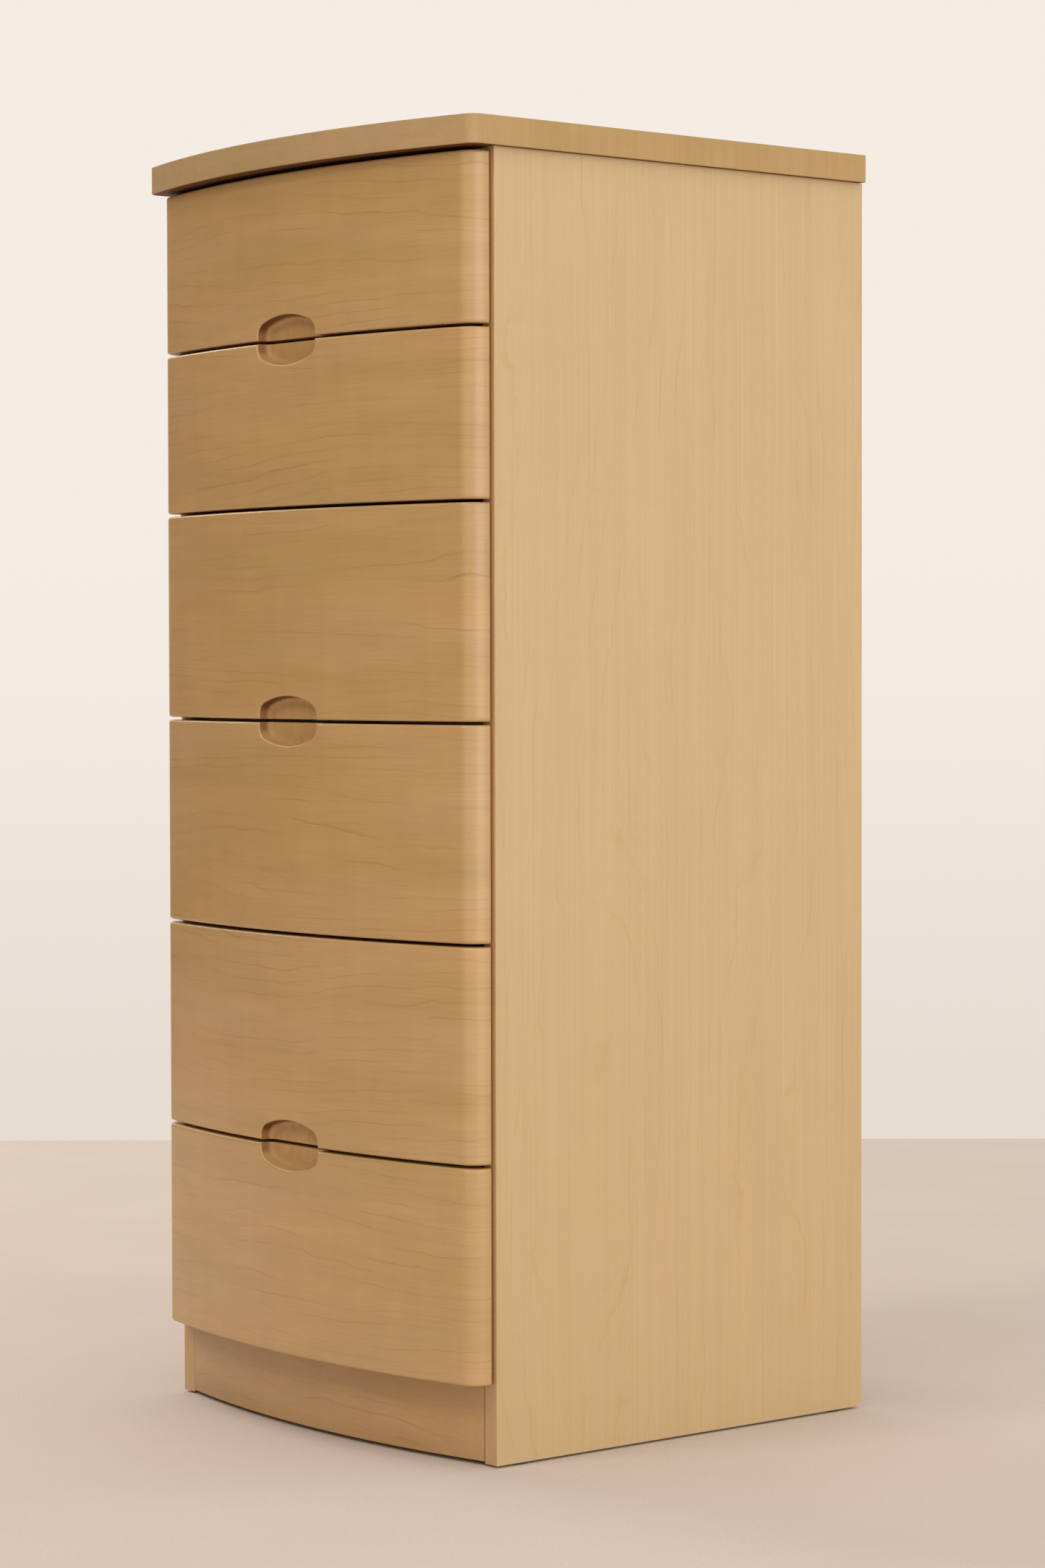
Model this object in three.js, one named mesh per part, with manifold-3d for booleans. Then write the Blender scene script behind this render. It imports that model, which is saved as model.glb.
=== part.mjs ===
// A tall chest of six bow-fronted drawers, made of the separate boards that it is put together from.
// Millimetres, +Z up, and the front faces -Y. The origin is on the floor, at the middle of the plan.

import * as THREE from 'three';
import { mergeVertices } from 'three/addons/utils/BufferGeometryUtils.js';
import Module from 'manifold-3d';

const wasm = await Module();
wasm.setup();

// ---------------------------------------------------------------- driving dimensions

// Carcass
const carcassWidth = 455;
const panelDepth = 418;
const panelHeight = 1086;
const boardThickness = 16;
const skirtingChamfer = 5;

// Bowed top
const topThickness = 24;
const topSideOverhang = 7.5;
const topBackSetback = 3;
const topCornerReach = 27;
const topBow = 33.5;
const topCornerRadius = 12;
const edgeBandThickness = 1;

// Back panel and its grooves in the sides
const backPanelThickness = 3;
const backGrooveWidth = 3.6;
const backGrooveDepth = 6;
const backGrooveInset = 10;

// Base, plinth and rails
const plinthHeight = 63;
const plinthBow = 23;
const plinthFloorGap = 1.5;
const plinthBackInset = 30;
const baseSetback = 2;
const railDepth = 60;
const middleRailSetback = 20;
const middleRailHeight = 601;

// Drawer fronts, from the top drawer down
const frontHeights = [141, 141, 180, 180, 180, 180];
const frontWidth = 449;
const frontGap = 2.7;
const lowestFrontHeight = 67;
const frontStandoff = 1.3;
const frontEndThickness = 18.7;
const frontBow = 27.3;
const frontCornerRadius = 18;

// Finger scoop in the edge of each front
const scoopHalfWidth = 43;
const scoopHeight = 21.7;
const scoopArchRadius = 100;
const scoopCornerRadius = 13;
const scoopDepth = 12;

// Drawer boxes
const sideClearance = 2;
const drawerSideThickness = 12;
const drawerSideLength = 392;
const drawerSideBelowTop = 40;
const drawerSideAboveFrontFoot = 17;
const drawerBackThickness = 12;
const drawerBackSetback = 6;
const drawerBackBelowSide = 6;
const drawerBottomThickness = 3;
const drawerBottomRise = 8;
const bottomGrooveDepth = 5.5;

// Runner strips
const runnerHeight = 16;
const runnerThickness = 7.5;
const runnerLength = 380;
const runnerSetback = 4;
const runnerGrooveHeight = 17;
const runnerGrooveDepth = 6;

// Glides
const glideHeight = 2;
const glideRadius = 7;
const glideInset = 30;

// Small fitting gap between a sheet and the groove that holds it
const fittingGap = 0.3;

// Steps along the curves
const bowSteps = 24;
const cornerSteps = 8;
const seamStep = 2;
const scoopArchSteps = 8;
const scoopCornerSteps = 6;
const glideSides = 24;
const cutMargin = 5;

// ---------------------------------------------------------------- derived places

const yBack = (panelDepth + topCornerReach + topBow) / 2;
const yPanelFront = yBack - panelDepth;
const carcassHalf = carcassWidth / 2;
const innerHalf = carcassHalf - boardThickness;
const zPanelFoot = glideHeight;
const zTopUnderside = zPanelFoot + panelHeight;

const topHalf = carcassHalf + topSideOverhang;
const yTopBack = yBack - topBackSetback;
const yTopCorner = yPanelFront - topCornerReach;

const yBackGroove = yBack - backGrooveInset - backGrooveWidth;
const zPlinthTop = zPanelFoot + plinthFloorGap + plinthHeight;
const zBaseTop = zPlinthTop + boardThickness;

const yFrontRear = yPanelFront - frontStandoff;
const yFrontCorner = yFrontRear - frontEndThickness;
const drawerHalf = innerHalf - sideClearance;
const drawerInnerHalf = drawerHalf - drawerSideThickness;
const bottomGrooveHeight = drawerBottomThickness + 2 * fittingGap;

const materials = {
  sidePanel: { color: 0xd2b07f, roughness: 0.45 },
  top: { color: 0xc09c68, roughness: 0.42 },
  front: { color: 0xb48e5c, roughness: 0.42 },
  plinth: { color: 0xa87f4f, roughness: 0.45 },
  edgeBand: { color: 0xb9945f, roughness: 0.4 },
  innerBoard: { color: 0xcbb088, roughness: 0.6 },
  hardboard: { color: 0x9a7449, roughness: 0.75 },
  runner: { color: 0xc9a878, roughness: 0.55 },
  glide: { color: 0x3a3530, roughness: 0.5 },
};

// ---------------------------------------------------------------- helpers

const chest = new THREE.Group();

function addPart(name, geometry, finish, position = [0, 0, 0]) {
  const material = new THREE.MeshStandardMaterial({ ...materials[finish], metalness: 0 });
  const mesh = new THREE.Mesh(geometry, material);
  mesh.name = name;
  mesh.position.set(...position);
  chest.add(mesh);
}

// A rectangular board between two opposite corners, given in the chest's own frame.
function addBoard(name, finish, low, high) {
  const size = high.map((value, axis) => value - low[axis]);
  const centre = high.map((value, axis) => (value + low[axis]) / 2);
  addPart(name, new THREE.BoxGeometry(...size), finish, centre);
}

function outlineShape(points) {
  return new THREE.Shape(points.map(([x, y]) => new THREE.Vector2(x, y)));
}

function extrude(points, length) {
  return new THREE.ExtrudeGeometry(outlineShape(points), { depth: length, bevelEnabled: false });
}

// Quarter turns with exact entries: local Y stands up as Z, or local X, Y, Z become Y, Z, X.
const standUp = new THREE.Matrix4().set(1, 0, 0, 0, 0, 0, -1, 0, 0, 1, 0, 0, 0, 0, 0, 1);
const cycleAxes = new THREE.Matrix4().set(0, 0, 1, 0, 1, 0, 0, 0, 0, 1, 0, 0, 0, 0, 0, 1);

// An outline in X and Z, swept from y = 0 towards +Y.
function extrudeAlongY(points, length) {
  return extrude(points, length).applyMatrix4(standUp).translate(0, length, 0);
}

// An outline in Y and Z, swept from x = 0 towards +X.
function extrudeAlongX(points, length) {
  return extrude(points, length).applyMatrix4(cycleAxes);
}

function boxBetween(low, high) {
  const size = high.map((value, axis) => value - low[axis]);
  const centre = high.map((value, axis) => (value + low[axis]) / 2);
  return new THREE.BoxGeometry(...size).translate(...centre);
}

function toSolid(geometry) {
  const bare = geometry.clone();
  bare.deleteAttribute('normal');
  bare.deleteAttribute('uv');
  const merged = mergeVertices(bare);
  return new wasm.Manifold(new wasm.Mesh({
    numProp: 3,
    vertProperties: new Float32Array(merged.attributes.position.array),
    triVerts: new Uint32Array(merged.index.array),
  }));
}

function cut(geometry, ...cutters) {
  let solid = toSolid(geometry);
  for (const cutter of cutters) {
    solid = solid.subtract(toSolid(cutter));
  }
  const mesh = solid.getMesh();
  const result = new THREE.BufferGeometry();
  result.setAttribute('position', new THREE.BufferAttribute(mesh.vertProperties, 3));
  result.setIndex(new THREE.BufferAttribute(mesh.triVerts, 1));
  result.computeVertexNormals();
  return result;
}

function mirrored(points) {
  return points.map(([x, y]) => [-x, y]).reverse();
}

// The plan of a bowed edge, from its right end to its left. The bow is an arc that would meet the two
// ends at cornerY and stands out by sagitta in the middle. An arc that touches both rounds each end.
// inset moves the whole line inwards.
function bowedEdge({ half, cornerY, sagitta, cornerRadius, inset = 0 }) {
  const bowRadius = (half ** 2 + sagitta ** 2) / (2 * sagitta);
  const bowCentreY = cornerY - sagitta + bowRadius;
  const cornerX = half - cornerRadius;
  const centreSpan = bowRadius - cornerRadius;
  const cornerCentreY = bowCentreY - Math.sqrt(centreSpan ** 2 - cornerX ** 2);
  const tangentAngle = Math.asin(cornerX / centreSpan);
  const right = [];
  for (let step = 0; step <= cornerSteps; step += 1) {
    const angle = (tangentAngle - Math.PI / 2) * (step / cornerSteps);
    const radius = cornerRadius - inset;
    right.push([cornerX + radius * Math.cos(angle), cornerCentreY + radius * Math.sin(angle)]);
  }
  for (let step = 1; step < bowSteps / 2; step += 1) {
    const angle = tangentAngle * (1 - step / (bowSteps / 2));
    const radius = bowRadius - inset;
    right.push([radius * Math.sin(angle), bowCentreY - radius * Math.cos(angle)]);
  }
  return [...right, [0, cornerY - sagitta + inset], ...mirrored(right)];
}

// ---------------------------------------------------------------- carcass

function addTop() {
  const plan = { half: topHalf, cornerY: yTopCorner, sagitta: topBow, cornerRadius: topCornerRadius };
  const outer = bowedEdge(plan);
  const inner = bowedEdge({ ...plan, inset: edgeBandThickness });
  const coreHalf = topHalf - edgeBandThickness;
  const place = [0, 0, zTopUnderside];

  const core = [...inner, [-coreHalf, yTopBack], [coreHalf, yTopBack]];
  addPart('top_panel', extrude(core, topThickness), 'top', place);

  const lastFront = outer.length - seamStep;
  const frontBand = [...outer.slice(seamStep, lastFront), ...inner.slice(seamStep, lastFront).reverse()];
  addPart('top_edge_front', extrude(frontBand, topThickness), 'edgeBand', place);

  const rightBand = [
    [topHalf, yTopBack],
    ...outer.slice(0, seamStep + 1),
    ...inner.slice(0, seamStep + 1).reverse(),
    [coreHalf, yTopBack],
  ];
  addPart('top_edge_right', extrude(rightBand, topThickness), 'edgeBand', place);
  addPart('top_edge_left', extrude(mirrored(rightBand), topThickness), 'edgeBand', place);
}

function addSidePanel(name, xLow, xGroove) {
  const profile = [
    [yPanelFront, zPanelFoot],
    [yBack - skirtingChamfer, zPanelFoot],
    [yBack, zPanelFoot + skirtingChamfer],
    [yBack, zTopUnderside],
    [yPanelFront, zTopUnderside],
  ];
  const board = extrudeAlongX(profile, boardThickness).translate(xLow, 0, 0);
  const groove = boxBetween(
    [xGroove, yBackGroove, zPanelFoot - cutMargin],
    [xGroove + 2 * backGrooveDepth, yBackGroove + backGrooveWidth, zTopUnderside + cutMargin],
  );
  addPart(name, cut(board, groove), 'sidePanel');
}

function addPlinthFront() {
  const radius = (innerHalf ** 2 + plinthBow ** 2) / (2 * plinthBow);
  const centreY = yPanelFront - plinthBow + radius;
  const arc = (arcRadius) => {
    const right = [];
    for (let step = 0; step < bowSteps / 2; step += 1) {
      const x = innerHalf * (1 - step / (bowSteps / 2));
      right.push([x, centreY - Math.sqrt(arcRadius ** 2 - x ** 2)]);
    }
    return [...right, [0, centreY - arcRadius], ...mirrored(right)];
  };
  const plan = [...arc(radius), ...arc(radius - boardThickness).reverse()];
  const place = [0, 0, zPanelFoot + plinthFloorGap];
  addPart('plinth_front', extrude(plan, plinthHeight), 'plinth', place);
}

function addInnerBoards() {
  const yPlinthBack = yBackGroove - plinthBackInset;
  addBoard('plinth_back', 'innerBoard',
    [-innerHalf, yPlinthBack - boardThickness, zPanelFoot + plinthFloorGap],
    [innerHalf, yPlinthBack, zPlinthTop]);
  addBoard('base_panel', 'innerBoard',
    [-innerHalf, yPanelFront + baseSetback, zPlinthTop],
    [innerHalf, yBackGroove, zBaseTop]);
  addBoard('rail_top_front', 'innerBoard',
    [-innerHalf, yPanelFront + baseSetback, zTopUnderside - boardThickness],
    [innerHalf, yPanelFront + baseSetback + railDepth, zTopUnderside]);
  addBoard('rail_top_back', 'innerBoard',
    [-innerHalf, yBackGroove - railDepth, zTopUnderside - boardThickness],
    [innerHalf, yBackGroove, zTopUnderside]);
  addBoard('rail_middle', 'innerBoard',
    [-innerHalf, yPanelFront + middleRailSetback, middleRailHeight],
    [innerHalf, yPanelFront + middleRailSetback + railDepth, middleRailHeight + boardThickness]);
}

function addBackPanel() {
  const half = innerHalf + backGrooveDepth - fittingGap;
  const yFront = yBackGroove + fittingGap;
  addBoard('back_panel', 'hardboard',
    [-half, yFront, zPlinthTop],
    [half, yFront + backPanelThickness, zTopUnderside - fittingGap]);
}

function addGlides() {
  const x = carcassHalf - boardThickness / 2;
  const rows = { front: yPanelFront + glideInset, back: yBack - glideInset };
  for (const [row, y] of Object.entries(rows)) {
    for (const [side, sign] of [['left', -1], ['right', 1]]) {
      const disc = new THREE.CylinderGeometry(glideRadius, glideRadius, glideHeight, glideSides);
      disc.applyMatrix4(standUp);
      addPart(`glide_${row}_${side}`, disc, 'glide', [sign * x, y, glideHeight / 2]);
    }
  }
}

// ---------------------------------------------------------------- drawers

// The right half of a scoop's outline: an upright side that starts below z = 0, a rounded corner and half of
// a shallow arch.
function scoopHalfOutline() {
  const archCentreZ = scoopHeight - scoopArchRadius;
  const cornerX = scoopHalfWidth - scoopCornerRadius;
  const centreSpan = scoopArchRadius - scoopCornerRadius;
  const cornerZ = archCentreZ + Math.sqrt(centreSpan ** 2 - cornerX ** 2);
  const archTurn = Math.asin(cornerX / centreSpan);
  const half = [[scoopHalfWidth, -cutMargin]];
  for (let step = 0; step <= scoopCornerSteps; step += 1) {
    const angle = (Math.PI / 2 - archTurn) * (step / scoopCornerSteps);
    half.push([cornerX + scoopCornerRadius * Math.cos(angle), cornerZ + scoopCornerRadius * Math.sin(angle)]);
  }
  for (let step = 1; step < scoopArchSteps; step += 1) {
    const angle = archTurn * (1 - step / scoopArchSteps);
    half.push([scoopArchRadius * Math.sin(angle), archCentreZ + scoopArchRadius * Math.cos(angle)]);
  }
  return half;
}

// A blind scoop, open at the edge z = 0 of a front and reaching up into it, or down when turned over.
function scoopCutter(direction) {
  const yFace = yFrontCorner - frontBow;
  const half = scoopHalfOutline();
  const outline = [...half, [0, scoopHeight], ...mirrored(half)].map(([x, z]) => [x, z * direction]);
  return extrudeAlongY(outline, cutMargin + scoopDepth).translate(0, yFace - cutMargin, 0);
}

function addFront(number, zFoot, height) {
  const edge = bowedEdge({
    half: frontWidth / 2,
    cornerY: yFrontCorner,
    sagitta: frontBow,
    cornerRadius: frontCornerRadius,
  });
  const plan = [...edge, [-frontWidth / 2, yFrontRear], [frontWidth / 2, yFrontRear]];
  const scoopAtFoot = number % 2 === 1;
  const scoop = scoopAtFoot ? scoopCutter(1) : scoopCutter(-1).translate(0, 0, height);
  const zGroove = drawerSideAboveFrontFoot + drawerBottomRise;
  const groove = boxBetween(
    [-drawerInnerHalf - bottomGrooveDepth, yFrontRear - bottomGrooveDepth, zGroove],
    [drawerInnerHalf + bottomGrooveDepth, yFrontRear + cutMargin, zGroove + bottomGrooveHeight],
  );
  addPart(`drawer_${number}_front`, cut(extrude(plan, height), scoop, groove), 'front', [0, 0, zFoot]);
}

// A drawer side, seen from the end: a long groove outside for the runner, and one inside for the bottom.
function addDrawerSide(name, sign, zFoot, height) {
  const zRunner = (height - runnerGrooveHeight) / 2;
  const profile = [
    [drawerInnerHalf, 0],
    [drawerHalf, 0],
    [drawerHalf, zRunner],
    [drawerHalf - runnerGrooveDepth, zRunner],
    [drawerHalf - runnerGrooveDepth, zRunner + runnerGrooveHeight],
    [drawerHalf, zRunner + runnerGrooveHeight],
    [drawerHalf, height],
    [drawerInnerHalf, height],
    [drawerInnerHalf, drawerBottomRise + bottomGrooveHeight],
    [drawerInnerHalf + bottomGrooveDepth, drawerBottomRise + bottomGrooveHeight],
    [drawerInnerHalf + bottomGrooveDepth, drawerBottomRise],
    [drawerInnerHalf, drawerBottomRise],
  ];
  const outline = sign > 0 ? profile : mirrored(profile);
  addPart(name, extrudeAlongY(outline, drawerSideLength), 'innerBoard', [0, yFrontRear, zFoot]);
}

function addRunner(name, sign, zFoot, sideHeight) {
  const zTop = zFoot + (sideHeight + runnerGrooveHeight) / 2 - fittingGap;
  const xOuter = innerHalf;
  const xInner = innerHalf - runnerThickness;
  const yFront = yPanelFront + runnerSetback;
  const xLow = sign > 0 ? xInner : -xOuter;
  const xHigh = sign > 0 ? xOuter : -xInner;
  addBoard(name, 'runner', [xLow, yFront, zTop - runnerHeight], [xHigh, yFront + runnerLength, zTop]);
}

function addDrawer(number, zFront, height) {
  const zSide = zFront + drawerSideAboveFrontFoot;
  const sideHeight = height - drawerSideBelowTop;
  const yRear = yFrontRear + drawerSideLength;
  const zBottom = zSide + drawerBottomRise + fittingGap;
  const zBottomTop = zBottom + drawerBottomThickness;
  const bottomHalf = drawerInnerHalf + bottomGrooveDepth - fittingGap;
  const yDrawerBack = yRear - drawerBackSetback;

  addFront(number, zFront, height);
  for (const [side, sign] of [['left', -1], ['right', 1]]) {
    addDrawerSide(`drawer_${number}_side_${side}`, sign, zSide, sideHeight);
    addRunner(`runner_${number}_${side}`, sign, zSide, sideHeight);
  }
  addBoard(`drawer_${number}_back`, 'innerBoard',
    [-drawerInnerHalf, yDrawerBack - drawerBackThickness, zBottomTop],
    [drawerInnerHalf, yDrawerBack, zSide + sideHeight - drawerBackBelowSide]);
  addBoard(`drawer_${number}_bottom`, 'hardboard',
    [-bottomHalf, yFrontRear - bottomGrooveDepth + fittingGap, zBottom],
    [bottomHalf, yDrawerBack, zBottomTop]);
}

function addDrawers() {
  let zFront = zPanelFoot + lowestFrontHeight;
  for (let number = frontHeights.length; number >= 1; number -= 1) {
    const height = frontHeights[number - 1];
    addDrawer(number, zFront, height);
    zFront += height + frontGap;
  }
}

// ---------------------------------------------------------------- assembly

addTop();
addSidePanel('side_panel_left', -carcassHalf, -innerHalf - backGrooveDepth);
addSidePanel('side_panel_right', innerHalf, innerHalf - backGrooveDepth);
addPlinthFront();
addInnerBoards();
addBackPanel();
addGlides();
addDrawers();

export default chest;
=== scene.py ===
import math
import random

import bmesh
import bpy
from mathutils import Matrix, Vector
from mathutils.geometry import delaunay_2d_cdt


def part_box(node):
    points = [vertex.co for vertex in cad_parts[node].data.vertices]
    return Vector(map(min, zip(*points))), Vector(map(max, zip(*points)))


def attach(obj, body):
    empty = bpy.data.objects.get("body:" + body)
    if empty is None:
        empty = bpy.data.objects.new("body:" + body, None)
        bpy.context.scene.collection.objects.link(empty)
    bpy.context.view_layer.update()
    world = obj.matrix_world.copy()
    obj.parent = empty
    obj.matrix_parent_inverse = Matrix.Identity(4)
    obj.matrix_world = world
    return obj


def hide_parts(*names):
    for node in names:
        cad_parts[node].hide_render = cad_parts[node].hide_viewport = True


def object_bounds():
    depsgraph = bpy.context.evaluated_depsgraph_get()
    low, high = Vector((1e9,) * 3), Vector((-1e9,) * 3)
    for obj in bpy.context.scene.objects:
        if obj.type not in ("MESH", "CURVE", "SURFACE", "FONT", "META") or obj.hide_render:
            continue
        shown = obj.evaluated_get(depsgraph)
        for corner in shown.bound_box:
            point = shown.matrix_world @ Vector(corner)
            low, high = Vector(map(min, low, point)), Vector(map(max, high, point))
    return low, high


# A tall chest of six bow-fronted drawers in maple laminate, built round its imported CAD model.
# The boards that show are rebuilt with smooth bows, rounded arrises and milled finger scoops, and the boards
# inside keep their CAD shape. Sizes are in metres in the model's own frame. The front faces -Y, and the floor
# is at Z = 0.

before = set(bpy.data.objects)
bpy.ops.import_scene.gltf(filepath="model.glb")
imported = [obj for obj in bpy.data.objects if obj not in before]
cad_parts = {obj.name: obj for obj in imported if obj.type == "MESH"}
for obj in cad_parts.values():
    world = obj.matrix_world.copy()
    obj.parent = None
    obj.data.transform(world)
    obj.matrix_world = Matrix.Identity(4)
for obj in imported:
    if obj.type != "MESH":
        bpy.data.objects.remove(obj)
cad_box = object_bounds()

MM = 0.001
FRONTWARDS = Vector((0, -1, 0))
UP = Vector((0, 0, 1))
DOWN = Vector((0, 0, -1))

# ---------------------------------------------------------------- sizes that the CAD source also has

FRONT_BOW = 27.3 * MM
FRONT_CORNER_RADIUS = 18 * MM
TOP_BOW = 33.5 * MM
TOP_CORNER_RADIUS = 12 * MM
EDGE_BAND = 1 * MM
PLINTH_BOW = 23 * MM
SKIRTING_CHAMFER = 5 * MM
FITTING_GAP = 0.3 * MM
SCOOP_HALF_WIDTH = 43 * MM
SCOOP_HEIGHT = 21.7 * MM
SCOOP_ARCH_RADIUS = 100 * MM
SCOOP_CORNER_RADIUS = 13 * MM
SCOOP_DEPTH = 12 * MM
DRAWERS = (1, 2, 3, 4, 5, 6)

# ---------------------------------------------------------------- sizes of the finer shapes

FRONT_ARRIS = 2.5 * MM
REAR_ARRIS = 2.6 * MM
SCOOP_ARRIS = 0.6 * MM
RIM_RADIUS = 1.5 * MM
COVE_RADIUS = 5.5 * MM
WALL_TILT = math.radians(8)
BAND_ARRIS = 0.8 * MM
PANEL_ARRIS = 0.7 * MM
PLINTH_ARRIS = 0.5 * MM
INNER_ARRIS = 0.4 * MM
PLINTH_END_GAP = 0.6 * MM

# The top's edging strips meet this share of a corner's arc before its end, each this far from the seam.
SEAM_SHARE = 0.25
SEAM_GAP = 0.04 * MM

# ---------------------------------------------------------------- mesh steps

BOW_STEPS = 30
CORNER_STEPS = 14
ARRIS_STEPS = 6
REAR_STEPS = 5
ROW_STEPS = 8
SIDE_STEPS = 3
SCOOP_CORNER_STEPS = 7
ARCH_STEPS = 12
RIM_STEPS = 4
COVE_STEPS = 5
ARRIS_SEGMENTS = 2

# This far beyond a curve, a line of points holds the face beside it flat. The grid of points over a front
# stays twice as far off its scoop.
HOLD = 0.7 * MM
SCOOP_CLEARANCE = 2 * HOLD

# Faces that meet at less than this are shaded as one curve.
SMOOTH_UNDER = math.radians(32)

# Points this near count as one: in a rebuilt mesh, in a CAD mesh, and in millimetres while a face is cut up.
CLOSE = 1e-6
WELD_WITHIN = 0.01 * MM
MERGE_WITHIN = 1e-4

# Each piece is cut from its own place in the wood, up to this far from the middle along each axis.
GRAIN_SHIFT = 20


def spaced(start, stop, steps):
    """Evenly spaced values from start to stop, both included."""
    return [start + (stop - start) * step / steps for step in range(steps + 1)]


# ---------------------------------------------------------------- plan of a bowed edge


class BowedEdge:
    """The plan of a bowed edge: an arc across the front, a rounded corner at each end, and straight sides.

    The sides end at back_y, and rear_radius rounds them into the back. A distance is measured along the edge
    from the middle of the bow, and is above zero to the right of it.
    """

    def __init__(self, half_width, apex_y, back_y, bow, corner_radius, rear_radius=0.0):
        self.half_width = half_width
        self.apex_y = apex_y
        self.corner_radius = corner_radius
        self.rear_radius = rear_radius
        self.rear_centre_y = back_y - rear_radius
        self.bow_radius = (half_width**2 + bow**2) / (2 * bow)
        self.bow_centre_y = apex_y + self.bow_radius
        self.corner_centre_x = half_width - corner_radius
        span = self.bow_radius - corner_radius
        self.corner_centre_y = self.bow_centre_y - math.sqrt(span**2 - self.corner_centre_x**2)
        self.bow_turn = math.asin(self.corner_centre_x / span)
        self.bow_end = self.bow_radius * self.bow_turn
        self.corner_end = self.bow_end + corner_radius * (math.pi / 2 - self.bow_turn)
        self.side_end = self.corner_end + self.rear_centre_y - self.corner_centre_y
        self.end = self.side_end + rear_radius * math.pi / 2

    def turn(self, reach):
        """How far the edge has turned from straight across, at a distance of zero or more."""
        if reach <= self.bow_end:
            return reach / self.bow_radius
        if reach < self.corner_end:
            return self.bow_turn + (reach - self.bow_end) / self.corner_radius
        if reach <= self.side_end:
            return math.pi / 2
        return math.pi / 2 + (reach - self.side_end) / self.rear_radius

    def point(self, distance, inset=0.0):
        """The point of the plan at this distance, moved inwards by inset.

        The inset dies out round the rear corner.
        """
        reach = abs(distance)
        turn = self.turn(reach)
        if reach <= self.bow_end:
            x = self.bow_radius * math.sin(turn)
            y = self.bow_centre_y - self.bow_radius * math.cos(turn)
        elif reach < self.corner_end:
            x = self.corner_centre_x + self.corner_radius * math.sin(turn)
            y = self.corner_centre_y - self.corner_radius * math.cos(turn)
        elif reach <= self.side_end:
            x = self.half_width
            y = self.corner_centre_y + reach - self.corner_end
        else:
            x = self.half_width - self.rear_radius * (1 - math.sin(turn))
            y = self.rear_centre_y - self.rear_radius * math.cos(turn)
            inset *= (self.end - reach) / (self.end - self.side_end)
        x -= inset * math.sin(turn)
        y += inset * math.cos(turn)
        return Vector((math.copysign(x, distance), y))

    def stations(self):
        """Distances from the left end to the right one, closer together where the edge turns."""
        right = spaced(0.0, self.bow_end, BOW_STEPS)[1:]
        right += spaced(self.bow_end, self.corner_end, CORNER_STEPS)[1:]
        right += [self.bow_end - HOLD, self.corner_end + HOLD, self.side_end]
        if self.rear_radius > 0:
            right += spaced(self.side_end, self.end, REAR_STEPS)[1:]
        right.sort()
        return [-distance for distance in reversed(right)] + [0.0] + right


# ---------------------------------------------------------------- making pieces


def add_piece(mesh, body, materials, nodes):
    """Puts a finished mesh in the scene as a piece that rides on a body and stands for CAD nodes."""
    piece = bpy.data.objects.new(mesh.name, mesh)
    bpy.context.scene.collection.objects.link(piece)
    for material in materials:
        mesh.materials.append(material)
    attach(piece, body)
    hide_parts(*nodes)
    normals = piece.modifiers.new("flat faces stay flat", "WEIGHTED_NORMAL")
    normals.keep_sharp = True


def to_mesh(name, shape, grain_at):
    """Turns a closed bmesh into a mesh with smooth curves, whose corners each hold their place in the wood.

    grain_at(face, vertex) is that place: its first number runs along the grain, and its second across it.
    """
    bmesh.ops.recalc_face_normals(shape, faces=shape.faces)
    if not all(edge.is_manifold for edge in shape.edges):
        raise ValueError(f"{name} is not closed")
    layer = shape.loops.layers.float_vector.new("grain")
    shift = Vector([random.Random(name + axis).uniform(-GRAIN_SHIFT, GRAIN_SHIFT) for axis in "xyz"])
    for face in shape.faces:
        face.smooth = True
        for corner in face.loops:
            corner[layer] = Vector(grain_at(face, corner.vert)) + shift
    mesh = bpy.data.meshes.new(name)
    shape.to_mesh(mesh)
    shape.free()
    mesh.set_sharp_from_angle(angle=SMOOTH_UNDER)
    return mesh


def loft(name, sections, axes):
    """A closed mesh through sections of equally many points, with a flat cap at each end.

    axes says which of x, y and z runs along the grain, across it and into the board.
    """
    order = ["xyz".index(axis) for axis in axes]
    shape = bmesh.new()
    rings = [[shape.verts.new(point) for point in section] for section in sections]
    for near, far in zip(rings, rings[1:]):
        for index, start in enumerate(near):
            after = (index + 1) % len(near)
            shape.faces.new((start, near[after], far[after], far[index]))
    shape.faces.new(rings[0])
    shape.faces.new(rings[-1])
    return to_mesh(name, shape, lambda face, vertex: [vertex.co[axis] for axis in order])


# The least cosine between a face's normal and a direction that the face counts as looking along.
LOOKS_ALONG = 0.4


def use_second_material(mesh, direction):
    """Gives the second material to the faces that look roughly along a direction."""
    for face in mesh.polygons:
        face.material_index = 1 if face.normal.dot(direction) > LOOKS_ALONG else 0


def rounded_outline(corners):
    """The outline through corners of (first, second, radius).

    A radius above zero rounds its corner, which has to be square.
    """
    points = [Vector(corner[:2]) for corner in corners]
    outline = []
    for index, (_, _, radius) in enumerate(corners):
        corner = points[index]
        if radius == 0:
            outline.append(corner)
            continue
        back = (points[index - 1] - corner).normalized()
        ahead = (points[(index + 1) % len(points)] - corner).normalized()
        centre = corner + radius * (back + ahead)
        for angle in spaced(0.0, math.pi / 2, ARRIS_STEPS):
            outline.append(centre - radius * (ahead * math.cos(angle) + back * math.sin(angle)))
    return outline


# ---------------------------------------------------------------- finger scoop

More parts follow.
